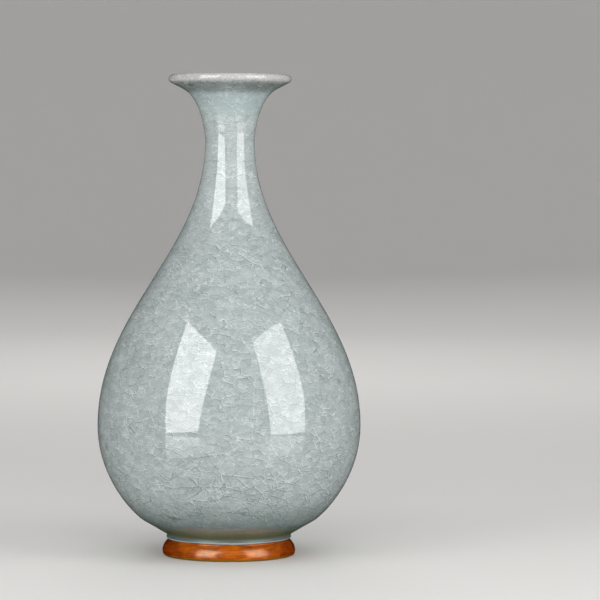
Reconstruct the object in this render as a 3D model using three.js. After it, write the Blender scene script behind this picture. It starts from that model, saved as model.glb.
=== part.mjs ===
// A pear-shaped porcelain vase with a crackled celadon glaze and a brown-dressed foot ring.
// It is made the way the potter makes it: a foot ring and three thrown sections are luted end to
// end with slip, and then glazed outside, inside and under the foot. Every piece is a lathe solid.
// The clay and the slip share the same outline points, so they meet face to face, and each coat
// stands off the clay by COAT_GAP.
// Millimetres, +Z up, origin at the centre of the face that the vase stands on.
import * as THREE from "three";

const degrees = THREE.MathUtils.degToRad;
const lerp = THREE.MathUtils.lerp;
const at = (radius, height) => new THREE.Vector2(radius, height);

// ---- Driving dimensions: the finished outline, over the glaze ----
const SPRING_RADIUS = 38.9; // where the belly springs from the foot
const SPRING_RISE = 3.1; // from the underside of the clay bowl up to there
const SPRING_SLOPE = degrees(30.4); // underside of the belly, from the horizontal
const SPRING_STRAIGHT = 16.9; // length of that underside before it starts to round
const BELLY_RADIUS = 82.25;
const BELLY_RISE = 67.7; // from the spring of the belly up to its widest point
const SHOULDER_RISE = 177.6; // from the widest point up to the waist of the neck
const WAIST_RADIUS = 15.4; // narrowest point of the neck
const FLARE_RISE = 41.3; // from the waist up to the top of the lip
const MOUTH_RADIUS = 38.35;
const FLARE_SLOPE = degrees(27.7); // underside of the flared mouth, from the horizontal
const FLARE_STRAIGHT = 9.2;
const LIP_THICKNESS = 5.1;

// Length of each curve's handles, as a share of the rise that the curve covers
const UNDERSIDE_EASE = 0.127;
const UNDERSIDE_FULLNESS = 0.552;
const SHOULDER_FULLNESS = 0.406;
const NECK_SWEEP = 0.389;
const FLARE_EASE = 0.167;
const FLARE_SWEEP = 0.37;

// ---- Driving dimensions: layers and walls ----
const GLAZE = 1.0;
const COAT_GAP = 0.01; // between a coat and the clay, so that their facets never cut each other
const BELLY_WALL = 3.8; // fired clay alone, without its glaze
const WAIST_WALL = 2.8;
const SPRING_WALL = 5.0;
const FLOOR = 7.0;
const FLOOR_FLAT_RADIUS = 27.0;
const SLIP = 0.8; // thickness of each luting joint
const BELLY_SEAM_RISE = 6.0; // from the widest point up to the middle of the belly joint
const NECK_SEAM_DROP = 54.0; // from the waist down to the middle of the neck joint

// ---- Driving dimensions: the foot ring ----
const RING_HEIGHT = 9.5;
const RING_FLARE = 3.3; // how far its widest point stands out from the upright foot above it
const RING_WIDEST_HEIGHT = 2.8;
const RING_EDGE_ROUND = 1.9; // how far the bottom edge rounds in
const CONTACT_WIDTH = 3.8; // of the flat face that the vase stands on
const RING_INNER_DRAFT = 1.2; // how much the recess narrows from its mouth to its roof
const RING_INNER_BEVEL = 0.5;
const DRESSING = 0.4;
const DRESSING_EDGE_HEIGHT = 0.8; // bare clay shows below this
const DRESSING_GAP = 0.3; // between the dressing and the edge of the glaze
const GLAZE_EDGE_RISE = 0.5; // from the underside of the clay bowl up to the edge of the glaze
const GLAZE_ROLL = 0.4; // how far the edge of the glaze stands proud
const BASE_GLAZE_DEPTH = 6.0; // how far the base glaze runs down inside the ring

// ---- Fineness of the faceted solids ----
const FACETS = 36;
const UNDERSIDE_STEPS = 5;
const SHOULDER_STEPS = 12;
const FLARE_STEPS = 5;
const LIP_STEPS = 5;
const RING_FLARE_STEPS = 3;
const RING_EDGE_STEPS = 4;

// ---- The heights and radii that stack up from the foot ----
const bowlUnderside = RING_HEIGHT + SLIP;
const glazeEdge = bowlUnderside + GLAZE_EDGE_RISE;
const springHeight = bowlUnderside + SPRING_RISE;
const bellyHeight = springHeight + BELLY_RISE;
const waistHeight = bellyHeight + SHOULDER_RISE;
const clayDepth = GLAZE + COAT_GAP; // of the clay behind the face of the glaze
const footGlazeBack = SPRING_RADIUS - GLAZE;
const footClay = SPRING_RADIUS - clayDepth;
const ringRadius = footClay + RING_FLARE;

// ---- The outline, as curves from the foot up to the lip ----
const lipRadius = LIP_THICKNESS / 2;
const lipCentre = at(MOUTH_RADIUS - lipRadius, waistHeight + FLARE_RISE - lipRadius);
const lipSide = at(Math.sin(FLARE_SLOPE), -Math.cos(FLARE_SLOPE));
const lipStart = lipCentre.clone().addScaledVector(lipSide, lipRadius);
const along = (slope) => at(Math.cos(slope), Math.sin(slope));

const spring = at(SPRING_RADIUS, springHeight);
const springEnd = spring.clone().addScaledVector(along(SPRING_SLOPE), SPRING_STRAIGHT);
const belly = at(BELLY_RADIUS, bellyHeight);
const waist = at(WAIST_RADIUS, waistHeight);
const flareStart = lipStart.clone().addScaledVector(along(FLARE_SLOPE), -FLARE_STRAIGHT);

// A curve that leaves its start upwards, or along startSlope, and arrives upwards, or along endSlope.
function sweep(start, startHandle, startSlope, end, endHandle, endSlope) {
  const first = start.clone().addScaledVector(along(startSlope), startHandle);
  const last = end.clone().addScaledVector(along(endSlope), -endHandle);
  return new THREE.CubicBezierCurve(start, first, last, end);
}

const upwards = degrees(90);
const undersideRise = belly.y - springEnd.y;
const flareCurveRise = flareStart.y - waist.y;
const underside = sweep(
  springEnd, UNDERSIDE_EASE * undersideRise, SPRING_SLOPE,
  belly, UNDERSIDE_FULLNESS * undersideRise, upwards,
);
const shoulder = sweep(
  belly, SHOULDER_FULLNESS * SHOULDER_RISE, upwards,
  waist, NECK_SWEEP * SHOULDER_RISE, upwards,
);
const flare = sweep(
  waist, FLARE_EASE * flareCurveRise, upwards,
  flareStart, FLARE_SWEEP * flareCurveRise, FLARE_SLOPE,
);

// The place on a rising curve, from 0 to 1, that is at a height.
function placeAtHeight(curve, height) {
  let low = 0;
  let high = 1;
  for (let halving = 0; halving < 40; halving++) {
    const middle = (low + high) / 2;
    if (curve.getPoint(middle).y < height) low = middle;
    else high = middle;
  }
  return (low + high) / 2;
}

// A station is a point of the finished outline, the way out of it, and the clay wall behind it.
function stationsAlong(curve, places, firstWall, lastWall) {
  return places.map((place) => {
    const tangent = curve.getTangent(place);
    return {
      point: curve.getPoint(place),
      out: at(tangent.y, -tangent.x),
      wall: lerp(firstWall, lastWall, place),
    };
  });
}

const evenPlaces = (steps) => Array.from({ length: steps }, (_, i) => (i + 1) / steps);

const bellySeam = bellyHeight + BELLY_SEAM_RISE;
const neckSeam = waistHeight - NECK_SEAM_DROP;
const seamPlaces = [bellySeam, neckSeam].flatMap((height) => [
  placeAtHeight(shoulder, height - SLIP / 2),
  placeAtHeight(shoulder, height + SLIP / 2),
]);
const clearOfSeams = (place) => seamPlaces.every((seam) => Math.abs(place - seam) > 0.4 / SHOULDER_STEPS);
const shoulderPlaces = [
  ...evenPlaces(SHOULDER_STEPS).filter((place) => place === 1 || clearOfSeams(place)),
  ...seamPlaces,
].sort((a, b) => a - b);

const lipWall = LIP_THICKNESS - 2 * clayDepth;
const springLine = new THREE.LineCurve(spring, springEnd);
const lipLine = new THREE.LineCurve(flareStart, lipStart);
const undersideStations = [
  ...stationsAlong(springLine, [0, 1], SPRING_WALL, SPRING_WALL),
  ...stationsAlong(underside, evenPlaces(UNDERSIDE_STEPS), SPRING_WALL, BELLY_WALL),
];
const stations = [
  ...undersideStations,
  ...stationsAlong(shoulder, shoulderPlaces, BELLY_WALL, WAIST_WALL),
  ...stationsAlong(flare, evenPlaces(FLARE_STEPS), WAIST_WALL, lipWall),
  ...stationsAlong(lipLine, [1], lipWall, lipWall),
];
const seamStations = seamPlaces.map((place) => undersideStations.length + shoulderPlaces.indexOf(place));
const [bellySeamBelow, bellySeamAbove, neckSeamBelow, neckSeamAbove] = seamStations;

// ---- The layers, at each station ----
const inwards = (station, depth) => station.point.clone().addScaledVector(station.out, -depth);
const glazeFace = (station) => inwards(station, 0);
const glazeBack = (station) => inwards(station, GLAZE);
const clayFace = (station) => inwards(station, clayDepth);
const innerClayFace = (station) => inwards(station, clayDepth + station.wall);
const innerGlazeBack = (station) => inwards(station, clayDepth + station.wall + COAT_GAP);
const innerGlazeFace = (station) => inwards(station, clayDepth + station.wall + clayDepth);

// The half circle round the lip, from its underside over the top to the inside of the mouth.
function lipArc(radius) {
  return Array.from({ length: LIP_STEPS + 1 }, (_, i) => {
    const angle = FLARE_SLOPE - upwards + (Math.PI * i) / LIP_STEPS;
    return lipCentre.clone().addScaledVector(along(angle), radius);
  });
}
const lipArcBetween = (radius) => lipArc(radius).slice(1, -1);

// ---- The foot ----

// The corner where the upright foot, at a radius, meets the underside that starts from a point.
const footCorner = (radius, start) =>
  at(radius, start.y - (start.x - radius) * Math.tan(SPRING_SLOPE));
const contactOuter = ringRadius - RING_EDGE_ROUND;
const contactInner = contactOuter - CONTACT_WIDTH;
const recessMouth = contactInner - RING_INNER_BEVEL;
const recessRoof = recessMouth - RING_INNER_DRAFT;

// The ring's outer face, from its top edge out to its widest point and round to the contact face.
const ringFlare = new THREE.CubicBezierCurve(
  at(footClay, RING_HEIGHT),
  at(lerp(footClay, ringRadius, 0.33), lerp(RING_HEIGHT, RING_WIDEST_HEIGHT, 0.15)),
  at(ringRadius, lerp(RING_HEIGHT, RING_WIDEST_HEIGHT, 0.55)),
  at(ringRadius, RING_WIDEST_HEIGHT),
);
const ringEdge = new THREE.EllipseCurve(
  contactOuter, RING_WIDEST_HEIGHT,
  RING_EDGE_ROUND, RING_WIDEST_HEIGHT,
  0, -upwards, true,
);
function outwardAlong(curve, place, depth) {
  const tangent = curve.getTangent(place);
  return curve.getPoint(place).addScaledVector(at(-tangent.y, tangent.x), depth);
}
const dressingEndPlace = Math.asin(1 - DRESSING_EDGE_HEIGHT / RING_WIDEST_HEIGHT) / upwards;
const dressedEdgePlaces = evenPlaces(RING_EDGE_STEPS - 1).map((place) => place * dressingEndPlace);
const ringFlarePlaces = [0, ...evenPlaces(RING_FLARE_STEPS)];
function ringFace(depth) {
  return [
    ...ringFlarePlaces.map((place) => outwardAlong(ringFlare, place, depth)),
    ...dressedEdgePlaces.map((place) => outwardAlong(ringEdge, place, depth)),
  ];
}

// ---- Closed profiles, one for each piece ----
const outerGlazeProfile = [
  at(footGlazeBack, glazeEdge),
  at(SPRING_RADIUS, glazeEdge),
  at(SPRING_RADIUS + GLAZE_ROLL, glazeEdge + GLAZE_ROLL),
  at(SPRING_RADIUS, glazeEdge + 3 * GLAZE_ROLL),
  ...stations.map(glazeFace),
  ...lipArcBetween(lipRadius),
  innerGlazeFace(stations.at(-1)),
  innerGlazeBack(stations.at(-1)),
  ...lipArcBetween(lipRadius - GLAZE).reverse(),
  ...stations.map(glazeBack).reverse(),
  footCorner(footGlazeBack, glazeBack(stations[0])),
];

// The floor inside, seen from the middle outwards, raised by a layer's thickness.
const floorLine = (raise) => [
  at(0, bowlUnderside + FLOOR + raise),
  at(FLOOR_FLAT_RADIUS, bowlUnderside + FLOOR + raise),
];
const innerGlazeProfile = [
  ...floorLine(COAT_GAP),
  ...stations.map(innerGlazeBack),
  ...stations.map(innerGlazeFace).reverse(),
  ...floorLine(clayDepth).reverse(),
];

function sectionProfile(first, last) {
  const reach = stations.slice(first, last + 1);
  return [...reach.map(clayFace), ...reach.map(innerClayFace).reverse()];
}

const bowlReach = stations.slice(0, bellySeamBelow + 1);
const lowerBowlProfile = [
  at(0, bowlUnderside),
  at(recessRoof, bowlUnderside),
  at(footClay, bowlUnderside),
  footCorner(footClay, clayFace(stations[0])),
  ...bowlReach.map(clayFace),
  ...bowlReach.map(innerClayFace).reverse(),
  ...floorLine(0).reverse(),
];

const neckReach = stations.slice(neckSeamAbove);
const neckProfile = [
  ...neckReach.map(clayFace),
  ...lipArcBetween(lipRadius - clayDepth),
  ...neckReach.map(innerClayFace).reverse(),
];

const footRingProfile = [
  at(contactInner, 0),
  at(contactOuter, 0),
  ...ringFace(0).reverse(),
  at(recessRoof, RING_HEIGHT),
  at(recessMouth, RING_INNER_BEVEL),
];

const footSlipProfile = [
  at(recessRoof, RING_HEIGHT),
  at(footClay, RING_HEIGHT),
  at(footClay, bowlUnderside),
  at(recessRoof, bowlUnderside),
];

const dressingTop = glazeEdge - DRESSING_GAP;
const dressingProfile = [
  at(footClay + COAT_GAP, dressingTop),
  ...ringFace(COAT_GAP),
  ...ringFace(DRESSING).reverse(),
  at(footClay + DRESSING, dressingTop),
];

// The wall of the recess narrows upwards, so its radius depends on the height.
const recessWall = (height) =>
  lerp(recessMouth, recessRoof, (height - RING_INNER_BEVEL) / (RING_HEIGHT - RING_INNER_BEVEL));
const baseGlazeEdge = bowlUnderside - BASE_GLAZE_DEPTH;
const baseGlazeProfile = [
  at(0, bowlUnderside - clayDepth),
  at(recessRoof - clayDepth, bowlUnderside - clayDepth),
  at(recessWall(baseGlazeEdge) - clayDepth, baseGlazeEdge),
  at(recessWall(baseGlazeEdge) - COAT_GAP, baseGlazeEdge),
  at(recessRoof - COAT_GAP, RING_HEIGHT),
  at(recessRoof - COAT_GAP, bowlUnderside - COAT_GAP),
  at(0, bowlUnderside - COAT_GAP),
];

// ---- Materials ----
const finish = (color, roughness) => new THREE.MeshStandardMaterial({ color, roughness, metalness: 0 });
const celadonGlaze = finish(0xa9b8b5, 0.12);
const ironDressing = finish(0xa34f14, 0.35);
const firedClay = finish(0xb79c74, 0.8);
const lutingSlip = finish(0xcbbfa8, 0.85);

// ---- The vase ----
const vase = new THREE.Group();

// Turns a profile of (radius, height) points about the Z axis.
function addTurned(name, profile, material) {
  const closed = profile[0].x === 0 ? profile : [...profile, profile[0]];
  const geometry = new THREE.LatheGeometry(closed, FACETS).rotateX(upwards);
  const mesh = new THREE.Mesh(geometry, material);
  mesh.name = name;
  vase.add(mesh);
}

addTurned("foot_ring", footRingProfile, firedClay);
addTurned("foot_luting_slip", footSlipProfile, lutingSlip);
addTurned("lower_belly_section", lowerBowlProfile, firedClay);
addTurned("belly_luting_slip", sectionProfile(bellySeamBelow, bellySeamAbove), lutingSlip);
addTurned("shoulder_section", sectionProfile(bellySeamAbove, neckSeamBelow), firedClay);
addTurned("neck_luting_slip", sectionProfile(neckSeamBelow, neckSeamAbove), lutingSlip);
addTurned("neck_and_mouth_section", neckProfile, firedClay);
addTurned("outer_crackle_glaze", outerGlazeProfile, celadonGlaze);
addTurned("inner_glaze", innerGlazeProfile, celadonGlaze);
addTurned("base_glaze", baseGlazeProfile, celadonGlaze);
addTurned("foot_dressing", dressingProfile, ironDressing);

export default vase;
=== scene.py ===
"""The looks of a crackle-glazed celadon vase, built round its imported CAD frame.

Every piece is turned about the Z axis, from the same outline and sizes as the CAD. Sizes are in
millimetres up to the point where a piece becomes a mesh. The lamps and the camera are placed in
metres.
"""

import math

import bmesh
import bpy
from mathutils import Matrix, Vector, geometry, noise


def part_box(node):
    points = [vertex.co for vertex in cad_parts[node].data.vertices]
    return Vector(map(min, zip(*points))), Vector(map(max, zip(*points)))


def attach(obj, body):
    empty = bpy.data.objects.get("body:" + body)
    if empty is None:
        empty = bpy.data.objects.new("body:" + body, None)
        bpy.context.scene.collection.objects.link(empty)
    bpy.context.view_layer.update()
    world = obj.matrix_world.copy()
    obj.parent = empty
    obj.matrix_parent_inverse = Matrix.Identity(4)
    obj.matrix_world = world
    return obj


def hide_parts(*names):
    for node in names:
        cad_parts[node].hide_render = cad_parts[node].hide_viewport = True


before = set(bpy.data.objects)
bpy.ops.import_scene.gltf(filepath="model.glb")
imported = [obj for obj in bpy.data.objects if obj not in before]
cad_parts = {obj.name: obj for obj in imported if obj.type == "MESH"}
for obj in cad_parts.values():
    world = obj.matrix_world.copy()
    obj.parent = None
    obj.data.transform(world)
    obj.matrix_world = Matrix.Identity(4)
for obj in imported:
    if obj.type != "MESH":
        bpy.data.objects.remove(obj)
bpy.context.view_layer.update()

MM = 0.001
UP = math.radians(90)


def lowest(node):
    """Height of the underside of a CAD node, in millimetres."""
    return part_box(node)[0].z / MM


def highest(node):
    """Height of the top of a CAD node, in millimetres."""
    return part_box(node)[1].z / MM


# ---- The finished outline, over the glaze ----
SPRING = Vector((38.9, 13.4))  # where the belly springs from the foot
SPRING_SLOPE = math.radians(30.4)
SPRING_STRAIGHT = 16.9
BELLY = Vector((82.25, 81.1))
WAIST = Vector((15.4, 258.7))
MOUTH_RADIUS = 38.35
FLARE_SLOPE = math.radians(27.7)
FLARE_STRAIGHT = 9.2
LIP_ROUND = 2.55
LIP_TOP = highest("outer_crackle_glaze")

# Length of each curve's handles, as a share of the rise that the curve covers
UNDERSIDE_EASE, UNDERSIDE_FULLNESS = 0.127, 0.552
SHOULDER_FULLNESS, NECK_SWEEP = 0.406, 0.389
FLARE_EASE, FLARE_SWEEP = 0.167, 0.37

# ---- Layers and walls ----
GLAZE = 1.0
COAT_GAP = 0.01  # between a coat and the clay
COATED = GLAZE + COAT_GAP  # depth of the clay behind the face of the glaze
SPRING_WALL, BELLY_WALL, WAIST_WALL = 5.0, 3.8, 2.8
LIP_WALL = 2 * (LIP_ROUND - COATED)
SLIP = 0.8
BELLY_SEAM = BELLY.y + 6.0
NECK_SEAM = WAIST.y - 54.0
BOWL_UNDERSIDE = lowest("lower_belly_section")
FLOOR_TOP = BOWL_UNDERSIDE + 7.0
FLOOR_FLAT_RADIUS = 20.0
FLOOR_SWEEP, WALL_SWEEP = 7.0, 4.0  # handles of the curve from the floor up into the wall

# ---- The foot ----
GLAZE_EDGE = lowest("outer_crackle_glaze")
FOOT_CLAY = SPRING.x - COATED
RING_TOP = highest("foot_ring")
RING_RADIUS = FOOT_CLAY + 3.3
RING_WIDEST = 2.8
RING_EDGE_ROUND = 1.9
RING_TOP_HANDLE = (0.33, 0.15)  # shares of the flare's width and height
RING_SIDE_HANDLE = 0.55
CONTACT_OUTER = RING_RADIUS - RING_EDGE_ROUND
CONTACT_INNER = CONTACT_OUTER - 3.8
RECESS_BEVEL = 0.5
RECESS_MOUTH = CONTACT_INNER - RECESS_BEVEL
RECESS_ROOF = RECESS_MOUTH - 1.2
RECESS_COVE = 2.0
DRESSING = 0.4
DRESSING_EDGE = 0.8
DRESSING_TOP = GLAZE_EDGE + 0.08
BASE_EDGE = lowest("base_glaze")

# ---- The lower edge of the outer glaze ----
BEAD_ROUND = 0.5
BEAD_PROUD = 0.18
BEAD_TOP = GLAZE_EDGE + 1.2
SPRING_CORNER = 1.0
SPRING_CORNER_DROP = 0.55
STEM_FACE = SPRING.x + 0.02
BACK_CORNER = SPRING.y + 0.6
WAVER = 0.45  # how far the edge wanders up and down
WAVER_REACH = 1.6
WAVES = 1.7  # the wandering gets quicker with this

# Steps round the axis
FACE_STEPS, HIDDEN_STEPS = 160, 128


def along(slope):
    return Vector((math.cos(slope), math.sin(slope)))


def bezier(start, start_handle, end_handle, end, steps):
    points = geometry.interpolate_bezier(start, start_handle, end_handle, end, steps + 1)
    return [Vector(point) for point in points]


def sweep(start, start_length, start_slope, end, end_length, end_slope, steps):
    """Points of a curve that leaves its start along one slope and arrives along another."""
    first = start + along(start_slope) * start_length
    last = end - along(end_slope) * end_length
    return bezier(start, first, last, end, steps)


def arc(centre, radius, start, end, steps):
    return [centre + along(start + (end - start) * i / steps) * radius for i in range(steps + 1)]


def line(start, end, steps):
    return [start.lerp(end, i / steps) for i in range(steps + 1)]


lip_centre = Vector((MOUTH_RADIUS - LIP_ROUND, LIP_TOP - LIP_ROUND))
lip_start = lip_centre + along(FLARE_SLOPE - UP) * LIP_ROUND
flare_start = lip_start - along(FLARE_SLOPE) * FLARE_STRAIGHT
spring_end = SPRING + along(SPRING_SLOPE) * SPRING_STRAIGHT
underside_rise = BELLY.y - spring_end.y
shoulder_rise = WAIST.y - BELLY.y
flare_rise = flare_start.y - WAIST.y

outline = (
    line(SPRING, spring_end, 4)
    + sweep(
        spring_end, UNDERSIDE_EASE * underside_rise, SPRING_SLOPE,
        BELLY, UNDERSIDE_FULLNESS * underside_rise, UP, 22,
    )[1:]
    + sweep(
        BELLY, SHOULDER_FULLNESS * shoulder_rise, UP,
        WAIST, NECK_SWEEP * shoulder_rise, UP, 64,
    )[1:]
    + sweep(
        WAIST, FLARE_EASE * flare_rise, UP,
        flare_start, FLARE_SWEEP * flare_rise, FLARE_SLOPE, 26,
    )[1:]
    + line(flare_start, lip_start, 4)[1:]
)


def mark_height(height):
    """Adds the point of the outline that is at a height, and gives its place in the list."""
    above = next(i for i, point in enumerate(outline) if point.y > height)
    low, high = outline[above - 1], outline[above]
    outline.insert(above, low.lerp(high, (height - low.y) / (high.y - low.y)))
    return above


belly_joint = [mark_height(BELLY_SEAM - SLIP / 2), mark_height(BELLY_SEAM + SLIP / 2)]
neck_joint = [mark_height(NECK_SEAM - SLIP / 2), mark_height(NECK_SEAM + SLIP / 2)]


def wall_at(height):
    """Thickness of the clay behind the outline at a height."""

    def between(low_wall, high_wall, low, high):
        return low_wall + (high_wall - low_wall) * min(1.0, max(0.0, (height - low) / (high - low)))

    if height < BELLY.y:
        return between(SPRING_WALL, BELLY_WALL, spring_end.y, BELLY.y)
    if height < WAIST.y:
        return between(BELLY_WALL, WAIST_WALL, BELLY.y, WAIST.y)
    return between(WAIST_WALL, LIP_WALL, WAIST.y, flare_start.y)


def outwards_at(points, i):
    """The direction out of a line of points that runs upwards, square to it at one of them."""
    tangent = (points[min(len(points) - 1, i + 1)] - points[max(0, i - 1)]).normalized()
    return Vector((tangent.y, -tangent.x))


def inset_outline(depth, walls=0):
    """The outline moved in by a depth, and past the clay wall as well where walls is 1."""
    return [
        point - outwards_at(outline, i) * (depth + walls * wall_at(point.y))
        for i, point in enumerate(outline)
    ]


glaze_back = inset_outline(GLAZE)
clay_face = inset_outline(COATED)
inner_clay = inset_outline(COATED, 1)
lining_back = inset_outline(COATED + COAT_GAP, 1)
lining_face = inset_outline(COATED + COATED, 1)


def lip_arc(radius):
    """The round of the lip, from its underside over the top to the inside of the mouth."""
    return arc(lip_centre, radius, FLARE_SLOPE - UP, FLARE_SLOPE + UP, 16)[1:-1]


def floor_line(depth, wall_start):
    """The floor inside, from the middle out, where it rounds up into the foot of the wall."""
    flat_end = Vector((FLOOR_FLAT_RADIUS, FLOOR_TOP + depth))
    corner = sweep(flat_end, FLOOR_SWEEP, 0.0, wall_start, WALL_SWEEP, SPRING_SLOPE, 8)
    return [Vector((0, flat_end.y))] + corner[:-1]


# ---- Making pieces ----
def turned(points, segments):
    """A bmesh spun round the Z axis from (radius, height) points in millimetres.

    The line of points is closed first, unless it starts on the axis.
    """
    shape = bmesh.new()
    verts = [shape.verts.new((p.x * MM, 0, p.y * MM)) for p in points]
    edges = [shape.edges.new(pair) for pair in zip(verts, verts[1:])]
    if points[0].x > 0:
        edges.append(shape.edges.new((verts[-1], verts[0])))
    bmesh.ops.spin(
        shape, geom=verts + edges, cent=(0, 0, 0), axis=(0, 0, 1),
        angle=math.tau, steps=segments, use_merge=True,
    )
    bmesh.ops.remove_doubles(shape, verts=shape.verts[:], dist=1e-7)
    bmesh.ops.recalc_face_normals(shape, faces=shape.faces[:])
    return shape


def smooth_object(name, shape, material):
    """Turns a bmesh into a smooth-shaded object of one material."""
    mesh = bpy.data.meshes.new(name)
    shape.to_mesh(mesh)
    shape.free()
    mesh.shade_smooth()
    mesh.materials.append(material)
    thing = bpy.data.objects.new(name, mesh)
    bpy.context.scene.collection.objects.link(thing)
    return thing


def finished(name, shape, material, node):
    """Turns a bmesh into a piece of the vase that stands for one CAD node."""
    piece = smooth_object(name, shape, material)
    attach(piece, "root")
    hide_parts(node)


# ---- Materials ----
NOISE_HARSHNESS = 0.55
SHADED_SIDE = 0.5  # depth of the shade on one side of a crack, where 1 is the light on the other


class Wire:
    """A socket of a material's nodes. Arithmetic on it adds the Math node that works it out."""

    def __init__(self, recipe, socket):
        self.recipe = recipe
        self.socket = socket

    def math(self, operation, *values):
        return self.recipe.add(
            "ShaderNodeMath", {"operation": operation}, dict(enumerate(values))
        )

    def __add__(self, other):
        return self.math("ADD", self, other)

    def __sub__(self, other):
        return self.math("SUBTRACT", self, other)

    def __rsub__(self, other):
        return self.math("SUBTRACT", other, self)

    def __mul__(self, other):
        return self.math("MULTIPLY", self, other)

    def __truediv__(self, other):
        return self.math("DIVIDE", self, other)

    __radd__ = __add__
    __rmul__ = __mul__

    def at_most(self, limit):
        return self.math("MINIMUM", self, limit)

    def at_least(self, limit):
        return self.math("MAXIMUM", self, limit)


class Recipe:
    """A material under construction."""

    def __init__(self, name):
        self.material = bpy.data.materials.new(name)
        self.material.use_nodes = True
        self.tree = self.material.node_tree
        self.tree.nodes.clear()

    def add(self, kind, settings=None, sockets=None, out=0):
        """Adds a node, sets it up, wires or fills its sockets, and gives one of its outputs."""
        node = self.tree.nodes.new(kind)
        for key, value in (settings or {}).items():
            setattr(node, key, value)
        for key, value in (sockets or {}).items():
            if isinstance(value, Wire):
                self.tree.links.new(value.socket, node.inputs[key])
            else:
                node.inputs[key].default_value = value
        return Wire(self, node.outputs[out]) if node.outputs else None

    def place(self):
        """Object coordinates in millimetres."""
        coordinates = self.add("ShaderNodeTexCoord", out="Object")
        return self.vector("MULTIPLY", coordinates, (1 / MM, 1 / MM, 1 / MM))

    def height(self, place):
        return self.add("ShaderNodeSeparateXYZ", None, {0: place}, "Z")

    def colour(self, factor, first, second):
        sockets = {0: factor, 6: first, 7: second}
        return self.add("ShaderNodeMix", {"data_type": "RGBA"}, sockets, out=2)

    def tint(self, body, where, strength, colour):
        """Lays a colour or another Wire over a body, as far as its strength goes."""
        return self.colour(where * strength, body, colour)

    def vector(self, operation, *values, out=0):
        return self.add(
            "ShaderNodeVectorMath", {"operation": operation}, dict(enumerate(values)), out
        )

    def fade(self, value, low, high):
        """0 up to low, 1 from high on, and smooth in between."""
        sockets = {0: value, 1: low, 2: high, 3: 0.0, 4: 1.0}
        return self.add("ShaderNodeMapRange", {"interpolation_type": "SMOOTHSTEP"}, sockets)

    def band(self, value, low, high, soft):
        """1 between two values, and 0 outside them."""
        above = self.fade(value, low - soft, low + soft)
        return above * (1 - self.fade(value, high - soft, high + soft))

    def noise(self, place, size, detail=2.0, shift=(0.0, 0.0, 0.0), out="Fac"):
        moved = self.vector("ADD", place, shift)
        sockets = {"Vector": moved, "Scale": 1 / size, "Detail": detail, "Roughness": NOISE_HARSHNESS}
        return self.add("ShaderNodeTexNoise", None, sockets, out)

    def bump(self, relief, depth):
        """Relief from a height of 0 to 1 that stands for a depth in millimetres."""
        return self.add("ShaderNodeBump", None, {"Distance": depth * MM, "Height": relief})

    def finish(self, **sockets):
        """Ends the recipe in a Principled surface."""
        named = {key.replace("_", " "): value for key, value in sockets.items()}
        shader = self.add("ShaderNodeBsdfPrincipled", None, named)
        self.add("ShaderNodeOutputMaterial", None, {"Surface": shader})
        return self.material


def srgb(red, green, blue):
    """A display colour, 0 to 255, as the linear colour that a socket takes."""

    def linear(value):
        value /= 255
        return value / 12.92 if value <= 0.04045 else ((value + 0.055) / 1.055) ** 2.4

    return (linear(red), linear(green), linear(blue), 1.0)


class Shards:
    """One depth of ice crackle: flat shards of a size, parted by cracks of a width.

    Each shard has a shade of its own, from 0 to 1, and a tilt, which changes across it. The cracks
    are 1 on their line and 0 from their width on. Each also has a glint on one side, up to 1, and a
    negative glint, or shadow, on the other.
    """

    def __init__(self, recipe, place, size, width, shift=(0.0, 0.0, 0.0)):
        moved = recipe.vector("ADD", place, shift)
        cells = {"Vector": moved, "Scale": 1 / size}
        random = recipe.add("ShaderNodeTexVoronoi", {"feature": "F1"}, cells, "Color")
        centre = recipe.add("ShaderNodeTexVoronoi", {"feature": "F1"}, cells, "Position")
        self.recipe = recipe
        self.shade = recipe.vector("DOT_PRODUCT", random, (1.0, 0.0, 0.0), out=1)
        lean = recipe.vector("SUBTRACT", random, (0.5, 0.5, 0.5))
        offset = recipe.vector("SUBTRACT", moved, centre)
        self.tilt = recipe.vector("DOT_PRODUCT", offset, lean, out=1) / size
        edge = self.edge_near(moved, size, width)
        raised = self.edge_near(recipe.vector("ADD", moved, (0.5 * width, 0.0, width)), size, width)
        near = 1 - edge / width
        self.crack = near * near
        self.glint = ((raised - edge) / width).at_least(-SHADED_SIDE)

    def edge_near(self, place, size, width):
        """Distance to the nearest crack, counted up to the crack's width."""
        cells = {"Vector": place, "Scale": 1 / size}
        distance = self.recipe.add(
            "ShaderNodeTexVoronoi", {"feature": "DISTANCE_TO_EDGE"}, cells, "Distance"
        )
        return (distance * size).at_most(width)


# Heights between which the celadon changes, in its own colour and in painted shade and reflection
OPEN_CRACKLE_ENDS = (45.0, 85.0)
NECK_PALES = (190.0, 250.0)
NECK_PALE_ENDS = (270.0, 290.0)
LIP_STARTS = (293.4, 296.6)
BELLY_PAINTED_SHADE_AND_POOL_ENDS = (16.0, 46.0)
CORNER_REFLECTION_STARTS = (13.8, 14.4)
CORNER_REFLECTION_ENDS = (14.8, 22.0)
SATIN_ENDS = (15.0, 25.0)
BEAD_ENDS = (11.25, 11.5)

# Bands of the celadon, from one height to another
THROAT = (274.0, 290.0)
UNDER_LIP = (288.5, 296.0)
STEM = (11.4, 14.1)

# Radii between which the changes round the foot start, clear of its recess and the floor inside
OUTSIDE_STARTS = (37.0, 37.5)

# Heights above the foot's lower edge, and distances to the side, between which the iron changes; the
# distances set the painted shade on its left and right sides
IRON_RIM_ENDS = (1.7, 2.2)
IRON_SIDES_SHADE = (22.0, 41.0)


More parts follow.
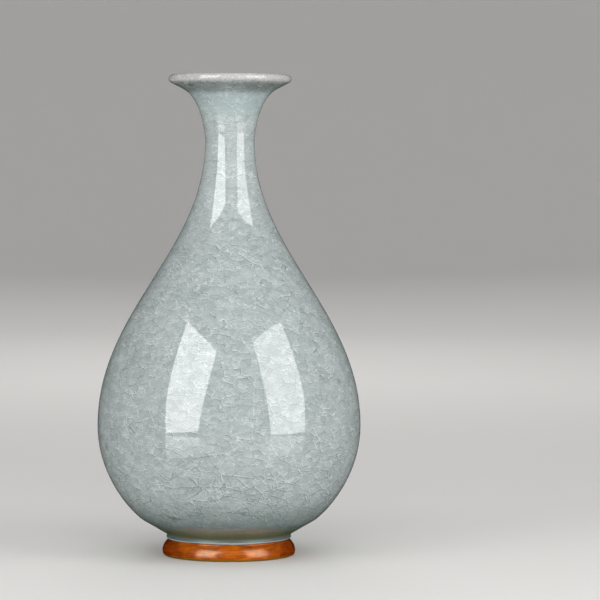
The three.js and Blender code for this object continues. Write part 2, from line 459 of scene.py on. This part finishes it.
def crackle(recipe, place, height):
    """The tone of the glaze, from 0 at its darkest to about 1, and the shade of its small shards."""
    wander = recipe.vector("SUBTRACT", recipe.noise(place, 8.0, 5.0, out="Color"), (0.5, 0.5, 0.5))
    bent = recipe.vector("ADD", place, recipe.vector("MULTIPLY", wander, (3.0, 3.0, 3.0)))
    flat = recipe.vector("MULTIPLY", bent, (1.0, 1.0, 1.6))
    slanting = recipe.add(
        "ShaderNodeMapping", None,
        {"Vector": bent, "Rotation": (0.45, 0.6, 0.0), "Scale": (1.0, 1.0, 1.8)},
    )
    broad = Shards(recipe, flat, size=13.0, width=0.55)
    middle = Shards(recipe, flat, size=6.6, width=0.48, shift=(31.0, 17.0, 5.0))
    small = Shards(recipe, slanting, size=4.4, width=0.4, shift=(3.0, 47.0, 9.0))
    fine = Shards(recipe, bent, size=1.8, width=0.36, shift=(13.0, 7.0, 29.0))

    low_down = 1 - recipe.fade(height, *OPEN_CRACKLE_ENDS)
    some = recipe.fade(recipe.noise(place, 11.0, 3.0), 0.44, 0.58)
    others = recipe.fade(recipe.noise(place, 7.0, 3.0, (40.0, 9.0, 3.0)), 0.46, 0.6)
    sparse = recipe.fade(recipe.noise(place, 5.0, 3.0, (9.0, 70.0, 3.0)), 0.54, 0.62)
    clouds = recipe.noise(place, 26.0, 3.0, (5.0, 2.0, 80.0)) - 0.5
    frosted = recipe.fade(small.shade, 0.76, 0.8)
    flakes = recipe.fade(fine.shade, 0.88, 0.92) * some
    tone = (
        0.48
        + (broad.shade - 0.5) * (0.03 + 0.07 * low_down)
        + broad.tilt * 0.08
        + (middle.shade - 0.5) * 0.14
        + middle.tilt * 0.10
        + (small.shade - 0.5) * 0.14
        + (fine.shade - 0.5) * 0.10
        + broad.glint * (0.14 + 0.42 * low_down)
        + middle.glint * (0.13 + 0.38 * some)
        + small.glint * (0.08 + 0.26 * others)
        + fine.glint * (0.10 + 0.10 * others)
        - broad.crack * (0.08 + 0.12 * low_down)
        + middle.crack * (0.46 * sparse - 0.10)
        + small.crack * (0.45 * frosted - 0.08)
        + flakes * 0.16
        + clouds * 0.12
    )
    return tone.at_least(0.0), small.shade


def celadon():
    recipe = Recipe("celadon_crackle_glaze")
    place = recipe.place()
    height = recipe.height(place)
    around = recipe.vector("MULTIPLY", place, (1.0, 1.0, 0.0))
    outside = recipe.fade(recipe.vector("LENGTH", around, out=1), *OUTSIDE_STARTS)
    tone, shard_shade = crackle(recipe, place, height)
    body = recipe.colour(tone, srgb(132, 146, 146), srgb(220, 228, 228))

    neck_pale = recipe.fade(height, *NECK_PALES) * (1 - recipe.fade(height, *NECK_PALE_ENDS))
    body = recipe.tint(body, neck_pale, 0.12, srgb(226, 233, 232))
    throat = recipe.band(height, *THROAT, 5.0)
    body = recipe.tint(body, throat, 0.35, srgb(176, 199, 201))
    wavering = height + (recipe.noise(place, 2.6, 3.0) - 0.5) * 4.0
    under_lip = recipe.band(wavering, *UNDER_LIP, 2.5)
    shadowed = recipe.colour(tone, srgb(76, 88, 87), srgb(158, 167, 165))
    body = recipe.tint(body, under_lip, 0.8, shadowed)
    lip = recipe.fade(wavering, *LIP_STARTS)
    speckle = recipe.fade(recipe.noise(place, 1.0, 2.0), 0.35, 0.7)
    thin = recipe.colour(speckle, srgb(192, 189, 190), srgb(226, 224, 224))
    body = recipe.tint(body, lip, 0.85, thin)

    # Painted shade on the lower belly, darker towards the foot, which also stands for glaze pooled
    # darker there
    belly_painted_shade_and_pool = (1 - recipe.fade(height, *BELLY_PAINTED_SHADE_AND_POOL_ENDS)) * outside
    body = recipe.tint(body, belly_painted_shade_and_pool, 0.76, srgb(98, 116, 111))
    # Painted reflection of the brown foot and painted shade, an olive band in the corner just above the
    # spring
    painted_corner_reflection_and_shade = recipe.fade(height, *CORNER_REFLECTION_STARTS) * (1 - recipe.fade(height, *CORNER_REFLECTION_ENDS)) * outside
    body = recipe.tint(body, painted_corner_reflection_and_shade, 0.75, srgb(70, 98, 22))
    # Painted shade, darker grey on the short stem tucked under the belly
    stem_painted_shade = recipe.band(height, *STEM, 0.25) * outside
    body = recipe.tint(body, stem_painted_shade, 0.7, srgb(104, 110, 104))
    bead = (1 - recipe.fade(height, *BEAD_ENDS)) * outside
    body = recipe.tint(body, bead, 0.85, srgb(174, 228, 240))

    satin = (1 - recipe.fade(height, *SATIN_ENDS)) * outside
    ripple = recipe.noise(place, 3.2) * 0.35 + recipe.noise(place, 24.0, 1.0) * 2.0
    return recipe.finish(
        Base_Color=body, Roughness=0.035 + satin * 0.4 + lip * 0.05, IOR=1.5,
        Normal=recipe.bump(ripple + shard_shade * 0.05, 0.03),
    )


def iron():
    recipe = Recipe("brushed_iron_dressing")
    place = recipe.place()
    height = recipe.height(place)
    streak = recipe.noise(recipe.vector("MULTIPLY", place, (0.2, 0.2, 1.6)), 1.5, 4.0)
    tone = recipe.fade(streak * 0.6 + recipe.noise(place, 8.0, 3.0) * 0.6, 0.38, 0.78)
    body = recipe.colour(tone, srgb(150, 58, 0), srgb(220, 110, 0))
    thick = recipe.fade(recipe.noise(place, 8.0, 3.0, (9.0, 4.0, 1.0)), 0.54, 0.72)
    body = recipe.tint(body, thick, 0.6, srgb(92, 26, 0))
    # Painted shade: the dressing darkens towards its left and right sides
    sideways = recipe.vector("LENGTH", recipe.vector("MULTIPLY", place, (1.0, 0.0, 0.0)), out=1)
    sides_painted_shade = recipe.fade(sideways, *IRON_SIDES_SHADE)
    body = recipe.tint(body, sides_painted_shade, 0.66, srgb(112, 22, 0))
    pits = recipe.fade(recipe.noise(place, 1.5, 1.0, (2.0, 30.0, 1.0)), 0.76, 0.8)
    body = recipe.tint(body, pits, 0.7, srgb(58, 18, 4))
    rim = 1 - recipe.fade(height + streak, *IRON_RIM_ENDS)
    body = recipe.tint(body, rim, 0.85, srgb(150, 116, 34))
    return recipe.finish(
        Base_Color=body, Roughness=0.21 + streak * 0.06, IOR=1.62,
        Specular_Tint=(1.0, 0.84, 0.6, 1.0), Normal=recipe.bump(streak, 0.015),
    )


def clay(name, dark, light):
    recipe = Recipe(name)
    place = recipe.place()
    grain = recipe.noise(place, 0.8, 4.0)
    rings = recipe.noise(recipe.vector("MULTIPLY", place, (0.05, 0.05, 1.0)), 1.2)
    body = recipe.colour(recipe.fade(grain * 0.7 + rings * 0.3, 0.3, 0.7), dark, light)
    return recipe.finish(Base_Color=body, Roughness=0.8, Normal=recipe.bump(grain, 0.08))


celadon_glaze = celadon()
iron_dressing = iron()
fired_clay = clay("bare_fired_clay", srgb(150, 122, 78), srgb(198, 170, 120))
luting_slip = clay("fired_slip", srgb(190, 178, 152), srgb(216, 206, 184))


# ---- The glaze ----
def outer_glaze():
    """The coat outside, which rolls over in a bead above the foot and runs over the lip."""
    foot_back = SPRING.x - GLAZE
    bead_centre = Vector((SPRING.x + BEAD_PROUD - BEAD_ROUND, GLAZE_EDGE + BEAD_ROUND))
    bead = arc(bead_centre, BEAD_ROUND, -UP, math.radians(20), 6)
    corner_centre = SPRING + Vector((SPRING_CORNER, -SPRING_CORNER_DROP))
    corner = arc(corner_centre, SPRING_CORNER, 2 * UP, 2 * UP - math.radians(60), 5)
    shape = turned(
        [Vector((foot_back, GLAZE_EDGE + BEAD_ROUND / 2))]
        + bead
        + [Vector((STEM_FACE, BEAD_TOP))]
        + corner
        + outline[1:]
        + lip_arc(LIP_ROUND)
        + [lining_face[-1], lining_back[-1]]
        + lip_arc(LIP_ROUND - GLAZE)[::-1]
        + glaze_back[::-1]
        + [Vector((foot_back, BACK_CORNER))],
        FACE_STEPS,
    )
    for vert in shape.verts:
        reach = 1 - (vert.co.z / MM - GLAZE_EDGE) / WAVER_REACH
        around = vert.co.to_2d().normalized() * WAVES
        sag = noise.noise(Vector((around.x, around.y, 4.0))) * WAVER * MM
        vert.co.z += sag * min(1.0, max(0.0, reach))
    finished("outer_glaze", shape, celadon_glaze, "outer_crackle_glaze")


def lining_glaze():
    shape = turned(
        floor_line(COAT_GAP, lining_back[0])
        + lining_back
        + lining_face[::-1]
        + floor_line(COATED, lining_face[0])[::-1],
        HIDDEN_STEPS,
    )
    finished("lining_glaze", shape, celadon_glaze, "inner_glaze")


def recess_glaze():
    """The coat under the base, which runs a little way down inside the ring."""

    def recess_wall(height):
        share = (height - RECESS_BEVEL) / (RING_TOP - RECESS_BEVEL)
        return RECESS_MOUTH + (RECESS_ROOF - RECESS_MOUTH) * share

    back = BOWL_UNDERSIDE - COAT_GAP
    face = BOWL_UNDERSIDE - COATED
    edge_back = recess_wall(BASE_EDGE) - COAT_GAP
    cove_centre = Vector((RECESS_ROOF - COATED - RECESS_COVE, face - RECESS_COVE))
    edge_centre = Vector((edge_back - GLAZE / 2, BASE_EDGE + GLAZE / 2))
    shape = turned(
        [Vector((0, face))]
        + arc(cove_centre, RECESS_COVE, UP, 0.0, 6)
        + arc(edge_centre, GLAZE / 2, 2 * UP, 4 * UP, 6)
        + [Vector((RECESS_ROOF - COAT_GAP, RING_TOP)), Vector((RECESS_ROOF - COAT_GAP, back))]
        + [Vector((0, back))],
        HIDDEN_STEPS,
    )
    finished("foot_recess_glaze", shape, celadon_glaze, "base_glaze")


# ---- The foot ----
ring_flare_top = Vector((FOOT_CLAY, RING_TOP))
ring_flare_size = Vector((RING_RADIUS, RING_WIDEST)) - ring_flare_top
ring_flare = bezier(
    ring_flare_top,
    ring_flare_top + ring_flare_size * Vector(RING_TOP_HANDLE),
    Vector((RING_RADIUS, RING_TOP + ring_flare_size.y * RING_SIDE_HANDLE)),
    Vector((RING_RADIUS, RING_WIDEST)),
    16,
)
ring_edge = [
    Vector((CONTACT_OUTER + RING_EDGE_ROUND * math.cos(turn), RING_WIDEST * (1 - math.sin(turn))))
    for turn in (UP * i / 10 for i in range(1, 11))
]
ring_face = (ring_flare + ring_edge)[::-1]


def foot_ring():
    shape = turned(
        [Vector((CONTACT_INNER, 0))]
        + ring_face
        + [Vector((RECESS_ROOF, RING_TOP)), Vector((RECESS_MOUTH, RECESS_BEVEL))],
        HIDDEN_STEPS,
    )
    finished("clay_foot_ring", shape, fired_clay, "foot_ring")


def foot_slip():
    shape = turned(
        [
            Vector((RECESS_ROOF, RING_TOP)),
            Vector((FOOT_CLAY, RING_TOP)),
            Vector((FOOT_CLAY, BOWL_UNDERSIDE)),
            Vector((RECESS_ROOF, BOWL_UNDERSIDE)),
        ],
        HIDDEN_STEPS,
    )
    finished("foot_joint_slip", shape, luting_slip, "foot_luting_slip")


def foot_dressing():
    """The brown coat, from a little above the contact face up to the glaze's bead."""
    dressed = [point for point in ring_face if point.y > DRESSING_EDGE]

    def off_the_ring(depth):
        return [point + outwards_at(dressed, i) * depth for i, point in enumerate(dressed)]

    shape = turned(
        off_the_ring(DRESSING)
        + [Vector((FOOT_CLAY + DRESSING, DRESSING_TOP)), Vector((FOOT_CLAY + COAT_GAP, DRESSING_TOP))]
        + off_the_ring(COAT_GAP)[::-1],
        FACE_STEPS,
    )
    finished("foot_iron_dressing", shape, iron_dressing, "foot_dressing")


# ---- The thrown sections and the slip that joins them ----
def thrown_bowl():
    below = belly_joint[0] + 1
    shape = turned(
        [Vector((0, BOWL_UNDERSIDE)), Vector((FOOT_CLAY, BOWL_UNDERSIDE)), Vector((FOOT_CLAY, SPRING.y))]
        + clay_face[1:below]
        + inner_clay[:below][::-1]
        + floor_line(0.0, inner_clay[0])[::-1],
        HIDDEN_STEPS,
    )
    finished("thrown_bowl", shape, fired_clay, "lower_belly_section")


def thrown_band(name, first, last, material, slot, node):
    """The clay or slip between two points of the outline."""
    shape = turned(clay_face[first:last + 1] + inner_clay[first:last + 1][::-1], HIDDEN_STEPS)
    finished(name, shape, material, node)


def thrown_neck():
    above = neck_joint[1]
    lip = lip_arc(LIP_ROUND - COATED)
    shape = turned(clay_face[above:] + lip + inner_clay[above:][::-1], HIDDEN_STEPS)
    finished("thrown_neck", shape, fired_clay, "neck_and_mouth_section")


outer_glaze()
lining_glaze()
recess_glaze()
foot_ring()
foot_slip()
foot_dressing()
thrown_bowl()
thrown_band("belly_joint_slip", *belly_joint, luting_slip, "luting_slip", "belly_luting_slip")
thrown_band(
    "thrown_shoulder", belly_joint[1], neck_joint[0], fired_clay, "fired_clay", "shoulder_section"
)
thrown_band("neck_joint_slip", *neck_joint, luting_slip, "luting_slip", "neck_luting_slip")
thrown_neck()


# ---- The studio ----
def studio_sweep():
    """A pale floor that turns up into a wall all round, far away."""
    reach, curl, rim = 1800.0, 2400.0, 2600.0
    turn = arc(Vector((reach, curl)), curl, -UP, 0.0, 10)
    shape = turned([Vector((0, 0))] + turn + [Vector((reach + curl, rim))], 96)
    paper = Recipe("studio_paper").finish(Base_Color=srgb(242, 240, 237), Roughness=0.9)
    backdrop = smooth_object("studio_sweep", shape, paper)
    backdrop.visible_glossy = False


def studio_camera():
    """A long lens a little above the middle of the vase, aimed to the right of it."""
    stand = Vector((0.0, -1.850, 0.2325))
    turn, tilt, roll = math.radians(-1.366), math.radians(-2.256), math.radians(0.20)
    data = bpy.data.cameras.new("studio_camera")
    data.sensor_width = 36.0
    data.lens = 177.6
    camera = bpy.data.objects.new("studio_camera", data)
    bpy.context.scene.collection.objects.link(camera)
    camera.matrix_world = (
        Matrix.Translation(stand)
        @ Matrix.Rotation(turn, 4, "Z")
        @ Matrix.Rotation(UP + tilt, 4, "X")
        @ Matrix.Rotation(roll, 4, "Z")
    )
    bpy.context.scene.camera = camera


class Softbox:
    """A rectangular light that faces the vase."""

    SETBACK = 0.05  # of the lamp that lights, so that it doesn't coincide with the mirrored one

    def __init__(self, centre, across, upwards, width, height):
        self.centre = Vector(centre)
        self.across = Vector(across).normalized()
        self.upwards = Vector(upwards)
        self.upwards -= self.across * self.upwards.dot(self.across)
        self.upwards.normalize()
        self.width = width
        self.height = height

    def table_image(self, low, high):
        """The mirror image, in a polished table, of the part between two shares of its height."""
        flip = Vector((1, 1, -1))
        middle = self.centre + self.upwards * self.height * ((low + high) / 2 - 0.5)
        return Softbox(
            middle * flip, self.across * -flip, self.upwards * flip,
            self.width, self.height * (high - low),
        )

    def shine(self, name, radiance, mirrored):
        """Switches it on, either to be mirrored in the glaze or, from just behind, to light it."""
        backwards = self.across.cross(self.upwards)
        place = self.centre if mirrored else self.centre + backwards * self.SETBACK
        lamp = bpy.data.lights.new(name, "AREA")
        lamp.shape = "RECTANGLE"
        lamp.size = self.width
        lamp.size_y = self.height
        lamp.energy = radiance * self.width * self.height * math.pi
        holder = bpy.data.objects.new(name, lamp)
        bpy.context.scene.collection.objects.link(holder)
        axes = Matrix((self.across, self.upwards, backwards)).transposed()
        holder.matrix_world = Matrix.Translation(place) @ axes.to_4x4()
        holder.visible_camera = False
        holder.visible_glossy = mirrored
        holder.visible_diffuse = not mirrored


# How bright the table mirrors each part of a softbox, between two shares of its height
TABLE_GLOSS = (
    (0.06, 0.12, 4.4), (0.12, 0.18, 3.6), (0.18, 0.24, 2.8), (0.24, 0.32, 2.2), (0.32, 0.42, 1.6),
)
RIGHT_TABLE_SHARE = 0.65


def studio_lights():
    left = Softbox(
        centre=(-0.658, -0.855, 0.495), across=(0.597, -0.799, 0.071), upwards=(0.359, 0.345, 0.868),
        width=0.708, height=1.116,
    )
    right = Softbox(
        centre=(0.793, -0.635, 0.493), across=(0.685, 0.729, 0.02), upwards=(-0.273, 0.231, 0.934),
        width=0.686, height=1.078,
    )
    front = Softbox(
        centre=(0.0, -1.9, 1.1), across=(1, 0, 0), upwards=(0, 0.45, 0.9), width=1.2, height=0.9
    )
    back = Softbox(
        centre=(0.0, 1.9, 1.1), across=(-1, 0, 0), upwards=(0, -0.45, 0.9), width=1.2, height=0.9
    )
    top = Softbox(centre=(0.0, 0.3, 3.0), across=(1, 0, 0), upwards=(0, 1, 0), width=5.0, height=5.0)

    left.shine("left_gloss", 7.5, mirrored=True)
    right.shine("right_gloss", 6.0, mirrored=True)
    for low, high, radiance in TABLE_GLOSS:
        left.table_image(low, high).shine("left_table_gloss", radiance, mirrored=True)
        right_radiance = radiance * RIGHT_TABLE_SHARE
        right.table_image(low, high).shine("right_table_gloss", right_radiance, mirrored=True)

    left.shine("left_light", 1.5, mirrored=False)
    right.shine("right_light", 1.8, mirrored=False)
    front.shine("front_light", 3.4, mirrored=False)
    back.shine("back_light", 2.5, mirrored=False)
    top.shine("top_light", 0.42, mirrored=False)


def studio_air():
    world = bpy.data.worlds.new("studio_air")
    world.use_nodes = True
    background = world.node_tree.nodes["Background"]
    background.inputs["Color"].default_value = srgb(200, 203, 206)
    background.inputs["Strength"].default_value = 0.25
    world.cycles_visibility.glossy = False
    bpy.context.scene.world = world


studio_sweep()
studio_camera()
studio_lights()
studio_air()
bpy.context.scene.view_settings.view_transform = "Standard"
